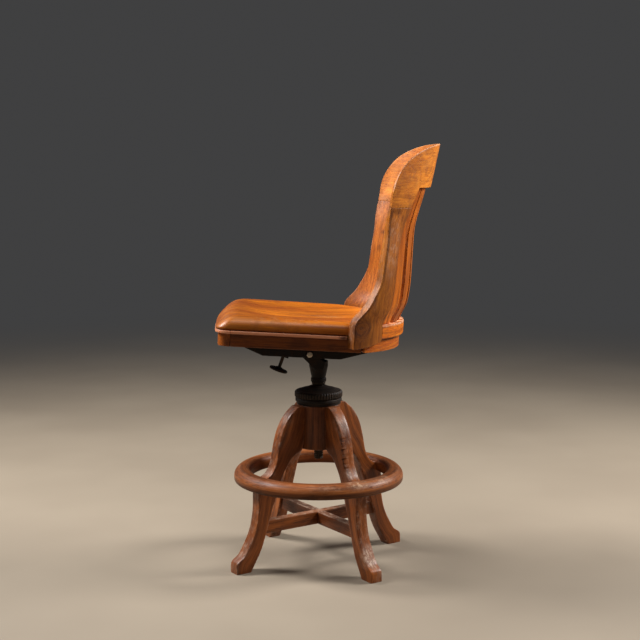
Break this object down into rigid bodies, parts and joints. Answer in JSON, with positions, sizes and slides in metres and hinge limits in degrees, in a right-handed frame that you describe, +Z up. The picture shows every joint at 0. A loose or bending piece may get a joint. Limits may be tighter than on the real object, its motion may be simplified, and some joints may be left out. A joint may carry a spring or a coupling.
{
  "type": "swivel stool",
  "caption": "Tall oak swivel chair-stool with a barrel back, sprung tilting seat, screw height adjustment by hand wheel, splayed legs and a round foot ring.",
  "frame": {"origin": "on the floor, under the middle of the overall box", "axes": "+Z up, the seat faces -Y, +X is the sitter's left"},
  "size_m": [0.477, 0.5918, 1.1208],
  "materials": {
    "oak_base": "dark worn varnish",
    "oak_ring": "dark worn varnish",
    "oak_seat": "amber satin varnish",
    "oak_back": "orange satin varnish",
    "oak_bead": "worn varnish",
    "oak_hidden": "bare",
    "cast_iron": "blackened",
    "dark_steel": "browned",
    "bright_steel": "worn bright"
  },
  "bodies": {
    "base": {"foot_ring": "oak_ring", "hub_key": "dark_steel", "hub_plate": "cast_iron", "hub_post": "oak_base", "hub_screw_1": "dark_steel", "hub_screw_2": "dark_steel", "hub_screw_3": "dark_steel", "hub_screw_4": "dark_steel", "leg_1": "oak_base", "leg_2": "oak_base", "leg_3": "oak_base", "leg_4": "oak_base", "ring_screw_1": "dark_steel", "ring_screw_2": "dark_steel", "ring_screw_3": "dark_steel", "ring_screw_4": "dark_steel", "stretcher_lower": "oak_base", "stretcher_upper": "oak_base"},
    "wheel": {"hand_wheel": "cast_iron"},
    "spindle": {"height_screw": "dark_steel", "swivel_washer": "dark_steel", "swivel_nut": "dark_steel"},
    "swivel_head": {"tilt_socket": "cast_iron", "tilt_spring": "dark_steel"},
    "seat": {"apron_front": "oak_seat", "apron_left": "oak_seat", "apron_rear": "oak_seat", "apron_right": "oak_seat", "back_rail": "oak_back", "batten_front": "oak_hidden", "batten_rear": "oak_hidden", "bead_front": "oak_bead", "bead_left": "oak_bead", "bead_right": "oak_bead", "crest_rail": "oak_back", "iron_screw_1": "dark_steel", "iron_screw_2": "dark_steel", "iron_screw_3": "dark_steel", "iron_screw_4": "dark_steel", "slat_1": "oak_back", "slat_2": "oak_back", "slat_3": "oak_back", "slat_4": "oak_back", "slat_5": "oak_back", "slat_6": "oak_back", "stile_left": "oak_back", "stile_right": "oak_back", "stile_screw_1": "dark_steel", "stile_screw_2": "dark_steel", "seat_iron": "cast_iron", "seat_panel": "oak_seat", "tilt_pin": "bright_steel", "tilt_pin_nut": "dark_steel"},
    "tension_screw": {"tension_rod": "dark_steel", "tension_disc": "cast_iron"},
    "tension_nut": {"spring_nut": "cast_iron"}
  },
  "joints": [
    {"name": "wheel_turn", "type": "hinge", "parent": "base", "child": "wheel", "pos_m": [0, -0.02257, 0.46], "axis": [0, 0, 1], "range_deg": [0, 2880]},
    {"name": "height", "type": "slide", "parent": "base", "child": "spindle", "axis": [0, 0, 1], "range_m": [0, 0.1016]},
    {"name": "seat_swivel", "type": "hinge", "parent": "spindle", "child": "swivel_head", "pos_m": [0, -0.02257, 0.52], "axis": [0, 0, 1], "continuous": true},
    {"name": "seat_tilt", "type": "hinge", "parent": "swivel_head", "child": "seat", "pos_m": [0, -0.04657, 0.5652], "axis": [-1, 0, 0], "range_deg": [0, 15], "stiffness_Nm_per_rad": 60, "springref_deg": -20.05, "deforming": ["tilt_spring"]},
    {"name": "tension_turn", "type": "hinge", "parent": "seat", "child": "tension_screw", "pos_m": [0, -0.13022, 0.51861], "axis": [0, 0.342, 0.9397], "range_deg": [0, 1800]},
    {"name": "tension_set", "type": "slide", "parent": "seat", "child": "tension_nut", "axis": [0, 0.342, 0.9397], "range_m": [0, 0.008], "deforming": ["tilt_spring"]}
  ],
  "couplings": [
    {"joint": "height", "follows": "wheel_turn", "m_per_rad": 0.0020213},
    {"joint": "tension_set", "follows": "tension_turn", "m_per_rad": 0.00025465}
  ]
}
